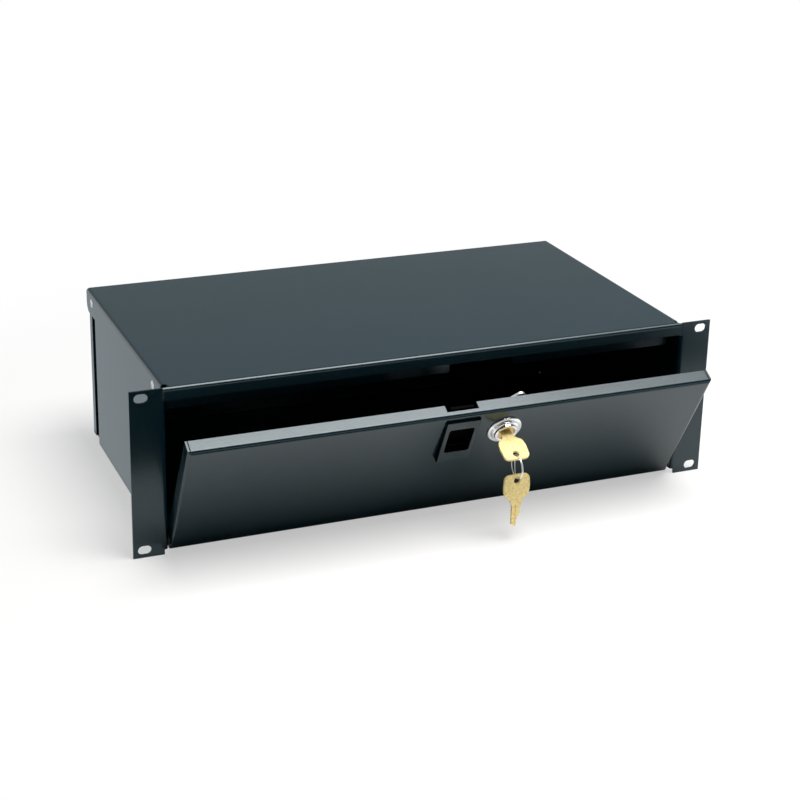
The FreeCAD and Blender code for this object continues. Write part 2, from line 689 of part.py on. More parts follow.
def lock_body():
    """Shell with a stepped head, flattened thread and grooves for the wafers."""
    thread = LOCK_THREAD / 2
    bore = PLUG_DIAMETER / 2 + PLUG_RUN_GAP
    collar = PLUG_COLLAR / 2 + PLUG_RUN_GAP
    collar_end = PLUG_FRONT + PLUG_COLLAR_DEPTH + PLUG_RUN_GAP
    rim = HEAD_DIAMETER / 2
    outline = [(LOCK_LENGTH, bore), (LOCK_LENGTH, thread), (-TRIM_THICKNESS, thread), (-TRIM_THICKNESS, rim),
               (-TRIM_THICKNESS - HEAD_RIM, rim), (-TRIM_THICKNESS - HEAD_RIM, HEAD_STEP / 2),
               (HEAD_FRONT, HEAD_FACE / 2), (HEAD_FRONT, collar), (collar_end, collar), (collar_end, bore)]
    shell = turned(outline, in_lock(0), INWARD)
    flat = LOCK_FLATS / 2
    past = LOCK_THREAD
    chips = [block((LOCK_X + flat, LOCK_X + past), (FRONT - TRIM_THICKNESS, FRONT + LOCK_LENGTH),
                   (LOCK_Z - past, LOCK_Z + past)),
             block((LOCK_X - past, LOCK_X - flat), (FRONT - TRIM_THICKNESS, FRONT + LOCK_LENGTH),
                   (LOCK_Z - past, LOCK_Z + past))]
    groove_half = bore + SHELL_GROOVE_DEPTH
    groove = block((LOCK_X - groove_half, LOCK_X + groove_half),
                   (FRONT + WAFER_FIRST - WAFER_THICKNESS, FRONT + wafer_depth(WAFER_COUNT)),
                   (LOCK_Z - WAFER_WIDTH / 2, LOCK_Z + WAFER_WIDTH / 2))
    groove.rotate(in_lock(0), INWARD, -CAM_TURN)
    return shell.cut(chips + [groove])


def lock_washer():
    bore = LOCK_THREAD + 2 * LOCK_HOLE_GAP
    return washer(bore, LOCK_WASHER_DIAMETER, SHEET, LOCK_WASHER_THICKNESS, in_lock(0), INWARD)


def lock_nut():
    start = SHEET + LOCK_WASHER_THICKNESS
    radius = LOCK_NUT_FLATS / math.sqrt(3)
    angles = [math.radians(60 * side) for side in range(6)]
    corners = [(LOCK_X + radius * math.cos(a), LOCK_Z + radius * math.sin(a)) for a in angles]
    hexagon = prism(corners, front_view(FRONT + start), INWARD * LOCK_NUT_HEIGHT)
    bore = rod(LOCK_THREAD + 2 * LOCK_HOLE_GAP, start, start + LOCK_NUT_HEIGHT, in_lock(0), INWARD)
    return hexagon.cut(bore)


def wafer_depth(index):
    return WAFER_FIRST + index * WAFER_PITCH


def across_plug(half_x, z_ends, depth, thickness):
    """Block across the plug, centred at a depth on the lock's axis."""
    middle = FRONT + depth
    return block((LOCK_X - half_x, LOCK_X + half_x), (middle - thickness / 2, middle + thickness / 2),
                 (LOCK_Z + z_ends[0], LOCK_Z + z_ends[1]))


def wafer_pocket(depth, gap):
    """Room beside a wafer for its lug and spring."""
    half_width = WAFER_WIDTH / 2
    half_length = WAFER_SPRING_LENGTH / 2 + WAFER_LUG_THICKNESS
    return across_plug(half_length + gap, (half_width - gap, half_width + WAFER_LUG + gap), depth,
                       WAFER_THICKNESS + 2 * gap)


def square_tail(size, start, end):
    half = size / 2
    tail = block((LOCK_X - half, LOCK_X + half), (FRONT + start, FRONT + end), (LOCK_Z - half, LOCK_Z + half))
    return turned_with_cam(tail)


def lock_plug():
    """Plug with its keyway, wafer slots and the square tail that drives the cam."""
    radius = PLUG_DIAMETER / 2
    collar = PLUG_COLLAR / 2
    step = PLUG_FRONT + PLUG_COLLAR_DEPTH
    outline = [(PLUG_FRONT, 0), (PLUG_FRONT, collar), (step, collar), (step, radius), (PLUG_END, radius), (PLUG_END, 0)]
    barrel = turned(outline, in_lock(0), INWARD)
    plug = joined([barrel, square_tail(TAIL_SQUARE, PLUG_END, CAM_BACK)])
    keyway_end = BOW_SEAT + BLADE_LENGTH + KEYWAY_END_GAP
    keyway_half = BLADE_HEIGHT / 2 + KEYWAY_GAP
    slot_half = KEY_THICKNESS / 2 + KEYWAY_GAP
    cuts = [block((LOCK_X - keyway_half, LOCK_X + keyway_half), (FRONT + PLUG_FRONT, FRONT + keyway_end),
                  (LOCK_Z - slot_half, LOCK_Z + slot_half))]
    for index in range(WAFER_COUNT):
        depth = wafer_depth(index)
        wafer_half = WAFER_WIDTH / 2 + WAFER_GAP
        cuts.append(across_plug(radius, (-wafer_half, wafer_half), depth, WAFER_THICKNESS + 2 * WAFER_GAP))
        cuts.append(wafer_pocket(depth, WAFER_GAP))
    cuts.append(rod(SCREW_SHANK + 2 * SCREW_HOLE_GAP, SCREW_SEAT - SCREW_LENGTH, CAM_BACK, in_lock(0), INWARD))
    return plug.cut(cuts)


def lock_wafers():
    """Spring-loaded plates with a window for the key, one at each cut of the blade."""
    wafers = []
    keep = rod(PLUG_DIAMETER - 2 * WAFER_GAP, 0, LOCK_LENGTH, in_lock(0), INWARD)
    window_half = BLADE_HEIGHT / 2 + WAFER_WINDOW_GAP
    window_z = KEY_THICKNESS / 2 + WAFER_WINDOW_GAP
    half_width = WAFER_WIDTH / 2
    for index in range(WAFER_COUNT):
        depth = wafer_depth(index)
        plate = across_plug(PLUG_DIAMETER / 2, (-half_width, half_width), depth, WAFER_THICKNESS).common(keep)
        lug = wafer_pocket(depth, 0)
        lug = lug.cut(across_plug(PLUG_DIAMETER, (half_width, PLUG_DIAMETER), depth, WAFER_THICKNESS).translate(
            vector(PLUG_DIAMETER - WAFER_SPRING_LENGTH / 2, 0, 0)))
        window = across_plug(window_half, (-window_z, window_z), depth, WAFER_THICKNESS)
        wafers.append(joined([plate, lug]).cut(window))
    return Part.makeCompound(wafers)


def wafer_springs():
    springs = []
    bore = WAFER_SPRING_DIAMETER - 2 * WAFER_SPRING_WIRE
    for index in range(WAFER_COUNT):
        place = in_lock(wafer_depth(index)) + UPWARD * (WAFER_WIDTH / 2 + WAFER_LUG / 2)
        start = -WAFER_SPRING_LENGTH / 2
        springs.append(washer(bore, WAFER_SPRING_DIAMETER, start, WAFER_SPRING_LENGTH, place, ACROSS))
    return Part.makeCompound(springs)


def stop_washer():
    """Washer on the plug's tail whose tab limits the turn."""
    disc = rod(STOP_WASHER_DIAMETER, PLUG_END, CAM_FRONT, in_lock(0), INWARD)
    reach = STOP_WASHER_DIAMETER / 2 + STOP_TAB_REACH
    tab = block((LOCK_X - STOP_TAB_WIDTH / 2, LOCK_X + STOP_TAB_WIDTH / 2),
                (FRONT + PLUG_END, FRONT + CAM_FRONT), (LOCK_Z - reach, LOCK_Z))
    piece = turned_with_cam(joined([disc, tab]))
    return piece.cut(square_tail(TAIL_SQUARE + 2 * TAIL_GAP, PLUG_END, CAM_FRONT))


def lock_cam():
    """Flat cam with a round hub and a rounded tip."""
    half = CAM_WIDTH / 2
    tip = LOCK_Z + CAM_LENGTH
    arm = [(LOCK_X - half, LOCK_Z), (LOCK_X + half, LOCK_Z), (LOCK_X + half, tip), (LOCK_X - half, tip)]
    square = min(CAM_TIP_RADIUS, half) / CAM_WIDTH
    radii = [square, square, CAM_TIP_RADIUS, CAM_TIP_RADIUS]
    blade = rounded_prism(arm, radii, front_view(FRONT + CAM_FRONT), INWARD * CAM_THICKNESS)
    hub = rod(CAM_HUB, CAM_FRONT, CAM_BACK, in_lock(0), INWARD)
    piece = turned_with_cam(joined([blade, hub]))
    return piece.cut(square_tail(TAIL_SQUARE + 2 * TAIL_GAP, CAM_FRONT, CAM_BACK))


def cam_washer():
    bore = SCREW_SHANK + 2 * SCREW_HOLE_GAP
    return washer(bore, CAM_WASHER_DIAMETER, CAM_BACK, CAM_WASHER_THICKNESS, in_lock(0), INWARD)


def cam_screw():
    shank = SCREW_SHANK / 2
    head = SCREW_HEAD / 2
    end = SCREW_SEAT + SCREW_HEAD_HEIGHT
    outline = [(SCREW_SEAT - SCREW_LENGTH, 0), (SCREW_SEAT - SCREW_LENGTH, shank), (SCREW_SEAT, shank),
               (SCREW_SEAT, head), (end, head), (end, 0)]
    screw = turned(outline, in_lock(0), INWARD)
    slot = block((LOCK_X - head, LOCK_X + head), (FRONT + end - SCREW_SLOT_DEPTH, FRONT + end),
                 (LOCK_Z - SCREW_SLOT_WIDTH / 2, LOCK_Z + SCREW_SLOT_WIDTH / 2))
    return screw.cut(slot)


# The keys and their ring
def blade_outline():
    """Blade points from its root to its tip and back along the cut edge."""
    half = BLADE_HEIGHT / 2
    points = [(0, -half), (-BLADE_LENGTH + BLADE_TIP, -half), (-BLADE_LENGTH, -half + BLADE_TIP)]
    cut_edge = []
    for index, depth in enumerate(KEY_CUT_DEPTHS):
        middle = BOW_SEAT - wafer_depth(index)
        cut_edge.append((middle + KEY_CUT_FLAT / 2, half - depth))
        cut_edge.append((middle - KEY_CUT_FLAT / 2, half - depth))
    points.append((-BLADE_LENGTH, half - KEY_CUT_DEPTHS[-1] - KEY_CUT_DEPTHS[0]))
    return points + cut_edge[::-1] + [(0, half)]


def flat_key():
    """Key lying flat: the bow along +X from the shoulder, the blade along -X."""
    half_outline = [(0, BOW_ROOT_WIDTH / 2), (BOW_NECK, BOW_NECK_WIDTH / 2), (BOW_SHOULDER, BOW_SHOULDER_WIDTH / 2),
                    (BOW_MIDDLE, BOW_WIDTH / 2), (BOW_LENGTH - BOW_CROWN, BOW_END_WIDTH / 2)]
    half_radii = [BOW_ROOT_RADIUS, BOW_NECK_RADIUS, BOW_SHOULDER_RADIUS, BOW_SIDE_RADIUS, BOW_END_RADIUS]
    outline = [(x, -y) for x, y in half_outline] + [(BOW_LENGTH, 0)] + half_outline[::-1]
    radii = half_radii + [BOW_CROWN_RADIUS] + half_radii[::-1]
    level = top_view(-KEY_THICKNESS / 2)
    bow = rounded_prism(outline, radii, level, UPWARD * KEY_THICKNESS)
    blade = prism(blade_outline(), level, UPWARD * KEY_THICKNESS)
    hole = Part.makeCylinder(BOW_HOLE / 2, KEY_THICKNESS, vector(BOW_LENGTH - BOW_HOLE_INSET, 0, -KEY_THICKNESS / 2))
    grooves = []
    for low in (-KEY_THICKNESS / 2, KEY_THICKNESS / 2 - KEY_GROOVE_DEPTH):
        grooves.append(block((-BLADE_LENGTH, 0), (-BLADE_HEIGHT / 4, -BLADE_HEIGHT / 4 + KEY_GROOVE_WIDTH),
                             (low, low + KEY_GROOVE_DEPTH)))
    return joined([bow, blade]).cut([hole] + grooves)


def key():
    """Key in the lock, its flat level while the cam is at rest."""
    piece = flat_key()
    piece.rotate(CENTRE, UPWARD, -90)
    piece.translate(in_lock(BOW_SEAT))
    return piece


def ring_places():
    """Ring's middle and its lowest wire, hanging plumb from the web of the key's bow."""
    web = opened_point(in_lock(WEB_DEPTH))
    ring_radius = RING_DIAMETER / 2
    middle = web - UPWARD * (ring_radius - RING_WIRE / 2 - RING_HANG)
    return middle, middle - UPWARD * ring_radius


def key_ring():
    """Split ring drawn as its two turns of wire side by side."""
    middle, lowest = ring_places()
    turns = []
    for side in (-1, 1):
        place = middle + ACROSS * (side * RING_WIRE * 0.48)
        turns.append(Part.makeTorus(RING_DIAMETER / 2, RING_WIRE / 2, place, ACROSS))
    return joined(turns)


def spare_key():
    """Second key, hanging plumb by its bow from the lowest wire of the ring."""
    middle, lowest = ring_places()
    piece = flat_key()
    piece.rotate(CENTRE, ACROSS, -90)
    piece.rotate(CENTRE, INWARD, -90)
    hole_drop = BOW_HOLE / 2 - RING_WIRE / 2 - SPARE_HANG_GAP
    wire_height = BOW_LENGTH - BOW_HOLE_INSET + hole_drop
    piece.translate(lowest - UPWARD * wire_height)
    mass_centre = piece.Solids[0].CenterOfMass
    lean = math.degrees(math.atan2(mass_centre.x - lowest.x, lowest.z - mass_centre.z))
    piece.rotate(lowest, INWARD, lean)
    return piece


CASE_PIECES = {
    "case_shell": case_shell(),
    "floor_pan": floor_pan(),
    "strike_rail": strike_rail(),
    "rail_rivets": wall_rivets(RAIL_RIVET_Y, RAIL_RIVET_Z),
    "rear_rivets": wall_rivets(REAR_RIVET_Y, REAR_RIVET_Z),
    "hinge_pins": hinge_pins(),
    "hinge_spacers": hinge_spacers(),
    "hinge_clips": hinge_clips(),
}

DOOR_PIECES = {
    "door_panel": door_panel(),
    "latch_frame": latch_frame(),
    "latch_slider": latch_slider(),
    "latch_backplate": latch_backplate(),
    "lock_trim": lock_trim(),
    "lock_body": lock_body(),
    "lock_washer": lock_washer(),
    "lock_nut": lock_nut(),
    "lock_plug": lock_plug(),
    "lock_wafers": lock_wafers(),
    "wafer_springs": wafer_springs(),
    "stop_washer": stop_washer(),
    "lock_cam": lock_cam(),
    "cam_washer": cam_washer(),
    "cam_screw": cam_screw(),
    "key": key(),
}

HANGING_PIECES = {
    "key_ring": key_ring(),
    "spare_key": spare_key(),
}

os.makedirs("parts", exist_ok=True)
pieces = dict(CASE_PIECES)
pieces.update({name: door_opened(shape) for name, shape in DOOR_PIECES.items()})
pieces.update(HANGING_PIECES)
for name, shape in pieces.items():
    shape.exportStep("parts/" + name + ".step")
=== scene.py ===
import bmesh
import bpy
import json
import math
from mathutils import Matrix, Vector


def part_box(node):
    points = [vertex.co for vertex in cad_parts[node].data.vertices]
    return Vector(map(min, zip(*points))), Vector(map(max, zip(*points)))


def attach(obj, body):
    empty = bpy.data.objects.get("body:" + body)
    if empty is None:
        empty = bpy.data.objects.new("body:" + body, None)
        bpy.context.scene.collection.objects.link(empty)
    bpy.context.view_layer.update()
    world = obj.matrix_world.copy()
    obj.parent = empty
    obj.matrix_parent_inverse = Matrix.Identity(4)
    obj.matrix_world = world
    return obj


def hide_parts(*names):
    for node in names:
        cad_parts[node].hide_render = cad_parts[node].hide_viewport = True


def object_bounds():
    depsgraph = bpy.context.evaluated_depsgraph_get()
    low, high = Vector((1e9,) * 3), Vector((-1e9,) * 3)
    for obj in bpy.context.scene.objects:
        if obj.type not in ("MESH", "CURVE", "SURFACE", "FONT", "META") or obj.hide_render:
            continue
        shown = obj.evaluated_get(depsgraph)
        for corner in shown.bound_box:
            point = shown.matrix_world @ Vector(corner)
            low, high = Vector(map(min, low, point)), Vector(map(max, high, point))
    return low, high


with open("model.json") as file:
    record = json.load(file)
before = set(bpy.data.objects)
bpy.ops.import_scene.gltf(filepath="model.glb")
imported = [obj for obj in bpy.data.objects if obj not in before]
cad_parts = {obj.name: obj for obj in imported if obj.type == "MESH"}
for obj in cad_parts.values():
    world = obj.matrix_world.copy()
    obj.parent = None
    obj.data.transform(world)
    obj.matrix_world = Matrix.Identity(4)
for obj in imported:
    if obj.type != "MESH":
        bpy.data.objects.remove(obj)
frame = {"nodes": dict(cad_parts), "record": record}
cad_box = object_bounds()


# The case is one folded steel sheet: top, sides, ledges, lip and rack ears. A second sheet
# is the floor and back, and an angle behind the lip takes the lock's cam. All are sprayed
# with satin black powder and baked, which leaves a fine orange-peel skin.
class Shade:
    """A shader socket that can be used in sums, with one method that adds any node."""

    def __init__(self, tree, socket=None):
        self.tree = tree
        self.socket = socket

    def node(self, kind, settings, inputs, output=0):
        made = self.tree.nodes.new(kind)
        for name, value in settings.items():
            setattr(made, name, value)
        for name, value in inputs.items():
            if isinstance(value, Shade):
                self.tree.links.new(value.socket, made.inputs[name])
            else:
                made.inputs[name].default_value = value
        return Shade(self.tree, made.outputs[output])

    def maths(self, operation, first, second):
        return self.node("ShaderNodeMath", {"operation": operation}, {0: first, 1: second})

    def __add__(self, other):
        return self.maths("ADD", self, other)

    def __radd__(self, other):
        return self.maths("ADD", other, self)

    def __mul__(self, other):
        return self.maths("MULTIPLY", self, other)

    def __rmul__(self, other):
        return self.maths("MULTIPLY", other, self)


def new_finish(name, metallic, **constants):
    """A material with its shader's constants set, and the parts that its pattern needs."""
    material = bpy.data.materials.new(name)
    material.use_nodes = True
    shader = material.node_tree.nodes["Principled BSDF"]
    shader.inputs["Metallic"].default_value = metallic
    for socket, value in constants.items():
        shader.inputs[socket.replace("_", " ")].default_value = value
    shade = Shade(material.node_tree)
    place = shade.node("ShaderNodeTexCoord", {}, {}, "Object")
    return material, shader, shade, place


def grain(shade, place, scale, detail=2.0, roughness=0.5):
    inputs = {"Vector": place, "Scale": scale, "Detail": detail, "Roughness": roughness}
    return shade.node("ShaderNodeTexNoise", {}, inputs)


def blend_colours(shade, factor, first, second):
    first_colour, second_colour, result_colour = 6, 7, 2
    inputs = {"Factor": factor, first_colour: first, second_colour: second}
    return shade.node("ShaderNodeMix", {"data_type": "RGBA"}, inputs, result_colour)


def bumped(shade, height, strength, distance):
    inputs = {"Height": height, "Strength": strength, "Distance": distance}
    return shade.node("ShaderNodeBump", {}, inputs)


def feed(shader, **links):
    for socket, value in links.items():
        value.tree.links.new(value.socket, shader.inputs[socket.replace("_", " ")])


def dress(material, *nodes):
    for node in nodes:
        mesh = frame["nodes"][node].data
        mesh.materials.clear()
        mesh.materials.append(material)


COAT_SHINE = 0.6
COAT_TINT = (0.84, 0.95, 1.0, 1)
COAT_DARK = (0.0008, 0.009, 0.013, 1)
COAT_LIGHT = (0.0035, 0.019, 0.026, 1)
PEEL_STRENGTH = 0.11
PEEL_DEPTH = 0.0003
satin_black, shader, shade, place = new_finish("satin_black_powder", 0.0, Specular_IOR_Level=COAT_SHINE,
                                               Specular_Tint=COAT_TINT)
speck = grain(shade, place, 2600.0, 1.0)
cloud = grain(shade, place, 14.0, 3.0)
peel = grain(shade, place, 620.0)
feed(shader,
     Base_Color=blend_colours(shade, 0.75 * speck + 0.25 * cloud, COAT_DARK, COAT_LIGHT),
     Roughness=0.15 + 0.04 * cloud + 0.05 * speck,
     Normal=bumped(shade, peel, PEEL_STRENGTH, PEEL_DEPTH))
dress(satin_black, "case_shell", "floor_pan", "strike_rail")


# Blind rivets of plain aluminium hold the rail's end tabs and the back's flanges to the sides.
# Their domed heads are bright and a little scuffed.
SCRATCH_STRENGTH = 0.05
SCRATCH_DEPTH = 0.0001


def bare_metal(name, dark, light, rough, scratch_scale):
    material, shader, shade, place = new_finish(name, 1.0)
    cloud = grain(shade, place, 180.0, 3.0)
    scratch = grain(shade, place, scratch_scale, 4.0, 0.65)
    feed(shader,
         Base_Color=blend_colours(shade, cloud, dark, light),
         Roughness=rough + 0.16 * scratch,
         Normal=bumped(shade, scratch, SCRATCH_STRENGTH, SCRATCH_DEPTH))
    return material


rivet_aluminium = bare_metal("rivet_aluminium", (0.62, 0.63, 0.64, 1), (0.80, 0.80, 0.80, 1), 0.22, 900.0)
dress(rivet_aluminium, "rail_rivets", "rear_rivets")


# The door hangs on two zinc-plated steel pins that are clinched in the case's sides. Black
# nylon spacers keep it clear of the sides, and spring clips in the pins' grooves hold it on.
zinc_plate = bare_metal("bright_zinc", (0.50, 0.51, 0.52, 1), (0.68, 0.69, 0.70, 1), 0.20, 1100.0)
dress(zinc_plate, "hinge_pins", "hinge_clips")

NYLON_DARK = (0.006, 0.006, 0.006, 1)
NYLON_LIGHT = (0.014, 0.014, 0.014, 1)
nylon, shader, shade, place = new_finish("black_nylon", 0.0)
cloud = grain(shade, place, 300.0)
feed(shader,
     Base_Color=blend_colours(shade, cloud, NYLON_DARK, NYLON_LIGHT),
     Roughness=0.42 + 0.1 * cloud)
dress(nylon, "hinge_spacers")


# The door is a tray folded from the same steel sheet, with openings for the latch and the
# lock and a notch for the latch's bolt in its top flange. It has the case's powder coat.
dress(satin_black, "door_panel")


# The slide latch is moulded in black plastic with a fine spark-eroded skin. Its bezel is
# clipped to the door over a housing, and the slider's bolt goes up behind the lip. A
# zinc-plated plate closes the housing.
MM = 0.001
CREASE_ANGLE = math.radians(35)
SEAM_GAP = 0.002 * MM
FLAT_ANGLE = math.radians(1)
SHARP_ANGLE = math.radians(28)
EASED_STEPS = 2


def finished_piece(name, build, material, body):
    """An object from a bmesh, smooth but for its creases, riding on a body."""
    mesh = bpy.data.meshes.new(name)
    build.to_mesh(mesh)
    build.free()
    for face in mesh.polygons:
        face.use_smooth = True
    mesh.set_sharp_from_angle(angle=CREASE_ANGLE)
    mesh.materials.append(material)
    piece = bpy.data.objects.new(name, mesh)
    bpy.context.collection.objects.link(piece)
    even = piece.modifiers.new("flat_faces", "WEIGHTED_NORMAL")
    even.keep_sharp = True
    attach(piece, body)
    return piece


def eased_copy(name, node, edge, material, body):
    """The node's own shape with its sharp edges eased, standing for the node."""
    build = bmesh.new()
    build.from_mesh(frame["nodes"][node].data)
    bmesh.ops.remove_doubles(build, verts=build.verts, dist=SEAM_GAP)
    bmesh.ops.dissolve_limit(build, angle_limit=FLAT_ANGLE, verts=build.verts, edges=build.edges)
    sharp = [side for side in build.edges if side.is_manifold and side.calc_face_angle() > SHARP_ANGLE]
    bmesh.ops.bevel(build, geom=sharp, offset=edge, offset_type="OFFSET", affect="EDGES",
                    segments=EASED_STEPS, profile=0.5, clamp_overlap=True, material=-1)
    piece = finished_piece(name, build, material, body)
    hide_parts(node)
    return piece


SPARK_STRENGTH = 0.1
SPARK_DEPTH = 0.0001
MOULDED_DARK = (0.001, 0.010, 0.013, 1)
MOULDED_LIGHT = (0.004, 0.018, 0.024, 1)
moulded, shader, shade, place = new_finish("moulded_black_plastic", 0.0, Specular_IOR_Level=COAT_SHINE,
                                           Specular_Tint=COAT_TINT)
spark = grain(shade, place, 2200.0)
cloud = grain(shade, place, 60.0)
feed(shader,
     Base_Color=blend_colours(shade, cloud, MOULDED_DARK, MOULDED_LIGHT),
     Roughness=0.20 + 0.10 * spark,
     Normal=bumped(shade, spark, SPARK_STRENGTH, SPARK_DEPTH))

# The slider's plastic is darker and far duller than the bezel's, so that it reads near black: partly the
# slider's own black, partly painted shade in the finger window.
SLIDER_SHINE = 0.02
SLIDER_SHADE_DARK = (0.0005, 0.0005, 0.0005, 1)
SLIDER_SHADE_LIGHT = (0.002, 0.002, 0.002, 1)
slider_and_shade_black, shader, shade, place = new_finish("slider_and_shade_black", 0.0, Specular_IOR_Level=SLIDER_SHINE)
spark = grain(shade, place, 1800.0)
feed(shader,
     Base_Color=blend_colours(shade, spark, SLIDER_SHADE_DARK, SLIDER_SHADE_LIGHT),
     Roughness=0.50 + 0.15 * spark,
     Normal=bumped(shade, spark, SPARK_STRENGTH, SPARK_DEPTH))

LATCH_EDGE = 0.25 * MM
# The bezel's faces that don't face the front, its side faces and the window's walls among them, get the
# near-black slider plastic: painted shade in the window and along the bezel's edges.
BEZEL_FRONT = Vector((0, -0.896, -0.442))
FACING_FRONT = 0.8
bezel = eased_copy("latch_bezel", "latch_frame", LATCH_EDGE, moulded, "door")
bezel.data.materials.append(slider_and_shade_black)
for face in bezel.data.polygons:
    if face.normal.dot(BEZEL_FRONT) < FACING_FRONT:
        face.material_index = 1
eased_copy("latch_bolt", "latch_slider", LATCH_EDGE, slider_and_shade_black, "latch")
dress(zinc_plate, "latch_backplate")


# The cam lock has a chromed trim ring and shell, turned with stepped edges, and its thread
# is rolled on the barrel, which has two flats. The plug is brass, and the nut, washers and
# cam are zinc-plated. The outlines are radii and heights above the door, in millimetres.
joints = {joint["name"]: joint for joint in frame["record"]["behaviour"]["joints"]}
LOCK_CENTRE = Vector(joints["lock_turn"]["pos_m"])
LOCK_INWARD = Vector(joints["lock_turn"]["axis"]).normalized()
LOCK_ACROSS = Vector((1, 0, 0))
LOCK_UP = LOCK_ACROSS.cross(LOCK_INWARD)
lock_axes = Matrix((LOCK_ACROSS, LOCK_UP, -LOCK_INWARD)).transposed()
lock_place = Matrix.Translation(LOCK_CENTRE) @ lock_axes.to_4x4()
ROUND_STEPS = 96


def outline_corners(build, outline):
    return [build.verts.new((radius * MM, 0, height * MM)) for radius, height in outline]


def spun_ring(build, outline):
    """A closed outline spun round the lock's axis."""
    corners = outline_corners(build, outline)
    sides = [build.edges.new(pair) for pair in zip(corners, corners[1:] + corners[:1])]
    bmesh.ops.spin(build, geom=corners + sides, cent=(0, 0, 0), axis=(0, 0, 1), angle=2 * math.pi,
                   steps=ROUND_STEPS, use_merge=True, use_duplicate=False)


def lock_piece(name, build, node):
    bmesh.ops.transform(build, matrix=lock_place, verts=build.verts)
    piece = finished_piece(name, build, chrome, "door")
    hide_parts(node)


chrome = bare_metal("polished_chrome", (0.82, 0.83, 0.85, 1), (0.90, 0.91, 0.92, 1), 0.02, 700.0)

TRIM_OUTLINE = [(9.6, 0.0), (13.9, 0.0), (14.0, 0.25), (14.0, 0.7), (13.85, 1.15), (13.5, 1.45),
                (13.0, 1.6), (12.1, 1.6), (11.85, 1.5), (11.75, 1.25), (11.6, 1.1), (9.6, 1.1)]
build = bmesh.new()
spun_ring(build, TRIM_OUTLINE)
bmesh.ops.recalc_face_normals(build, faces=build.faces)
lock_piece("lock_trim_ring", build, "lock_trim")

SHELL_OUTLINE = [(6.3, -16.5), (8.9, -16.5), (8.9, 1.1), (11.2, 1.1), (11.3, 1.3), (11.3, 2.6), (11.2, 2.9),
                 (10.9, 3.15), (10.5, 3.2), (10.05, 3.2), (9.85, 3.1), (9.7, 3.15), (9.65, 3.4), (9.4, 4.5),
                 (9.25, 4.8), (8.95, 5.0), (7.6, 5.0), (7.25, 4.9), (7.05, 4.65), (7.05, 2.1), (6.3, 2.1)]
RIDGE_OUTLINE = [(8.8, -16.4), (8.8, -15.7), (9.5, -16.0)]
THREAD_PITCH = 1.0 * MM
THREAD_TURNS = 14
THREAD_STEPS = 48
FLAT_HALF_WIDTH = 8.0 * MM
FLAT_TOP = -1.5 * MM
build = bmesh.new()
spun_ring(build, SHELL_OUTLINE)
bmesh.ops.recalc_face_normals(build, faces=build.faces)
ridge_face = build.faces.new(outline_corners(build, RIDGE_OUTLINE))
bmesh.ops.spin(build, geom=[ridge_face], cent=(0, 0, 0), axis=(0, 0, 1), angle=2 * math.pi * THREAD_TURNS,
               dvec=(0, 0, THREAD_PITCH / THREAD_STEPS), steps=THREAD_STEPS * THREAD_TURNS,
               use_merge=False, use_duplicate=False)
bmesh.ops.recalc_face_normals(build, faces=build.faces)
for vert in build.verts:
    if vert.co.z < FLAT_TOP:
        vert.co.x = min(max(vert.co.x, -FLAT_HALF_WIDTH), FLAT_HALF_WIDTH)
lock_piece("lock_shell", build, "lock_body")

brass = bare_metal("machined_brass", (0.56, 0.39, 0.14, 1), (0.76, 0.57, 0.25, 1), 0.18, 1000.0)
dress(brass, "lock_plug", "lock_wafers")
CAM_EDGE = 0.45 * MM
# The cam's zinc is a paler, rougher copy of the plating on the nut and washers, made paler so that the cam
# reads lit: painted light. The ring's wire uses it too.
pale_zinc = bare_metal("pale_zinc", (0.78, 0.79, 0.80, 1), (0.90, 0.90, 0.90, 1), 0.34, 900.0)
eased_copy("cam_plate", "lock_cam", CAM_EDGE, pale_zinc, "lock_core")
dress(zinc_plate, "lock_washer", "lock_nut", "wafer_springs", "stop_washer", "cam_washer", "cam_screw")


# The two keys are stamped from brass strip and cut alike. One stands in the lock and the
# other hangs on the ring. They are tumbled, which leaves a dull skin with a fine mottle.
MOTTLE_STRENGTH = 0.12
MOTTLE_DEPTH = 0.0001
STAIN_START, STAIN_END = 0.28, 0.62
KEY_STAINED = (0.82, 0.66, 0.29, 1)
KEY_CLEAN = (1.0, 0.90, 0.54, 1)
key_brass, shader, shade, place = new_finish("stamped_brass", 1.0)
mottle = grain(shade, place, 620.0, 4.0, 0.6)
stain = shade.node("ShaderNodeMapRange", {}, {"Value": mottle, "From Min": STAIN_START, "From Max": STAIN_END})
feed(shader,
     Base_Color=blend_colours(shade, stain, KEY_STAINED, KEY_CLEAN),
     Roughness=0.66 + 0.22 * mottle,
     Normal=bumped(shade, mottle, MOTTLE_STRENGTH, MOTTLE_DEPTH))
dress(key_brass, "key", "spare_key")


# The ring is two turns of hard plated wire, coiled so that one lies against the other, with
# a short step where the wire changes sides. The turns spread a little at the back, where
# the keys have pulled them apart.
RING_RADIUS = 9.0 * MM
WIRE_RADIUS = 0.37 * MM
WIRE_SIDES = 12
HALF_PITCH = 1.02 * WIRE_RADIUS
TURN_ANGLE, TURN_STEPS = 330, 66
CROSSING_ANGLE, CROSSING_STEPS = 30, 6
RING_TURN = math.radians(105)
RING_SPLAY = 1.9 * MM
SPLAY_START = 0.3
ring_low, ring_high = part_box("key_ring")
ring_middle = (Vector(ring_low) + Vector(ring_high)) / 2
build = bmesh.new()
bmesh.ops.create_circle(build, cap_ends=True, segments=WIRE_SIDES, radius=WIRE_RADIUS)
bmesh.ops.translate(build, vec=(-HALF_PITCH, RING_RADIUS, 0), verts=build.verts)
end_face = list(build.faces)
flat_turn = (TURN_ANGLE, 0.0, TURN_STEPS)
crossing = (CROSSING_ANGLE, 2 * HALF_PITCH / CROSSING_STEPS, CROSSING_STEPS)
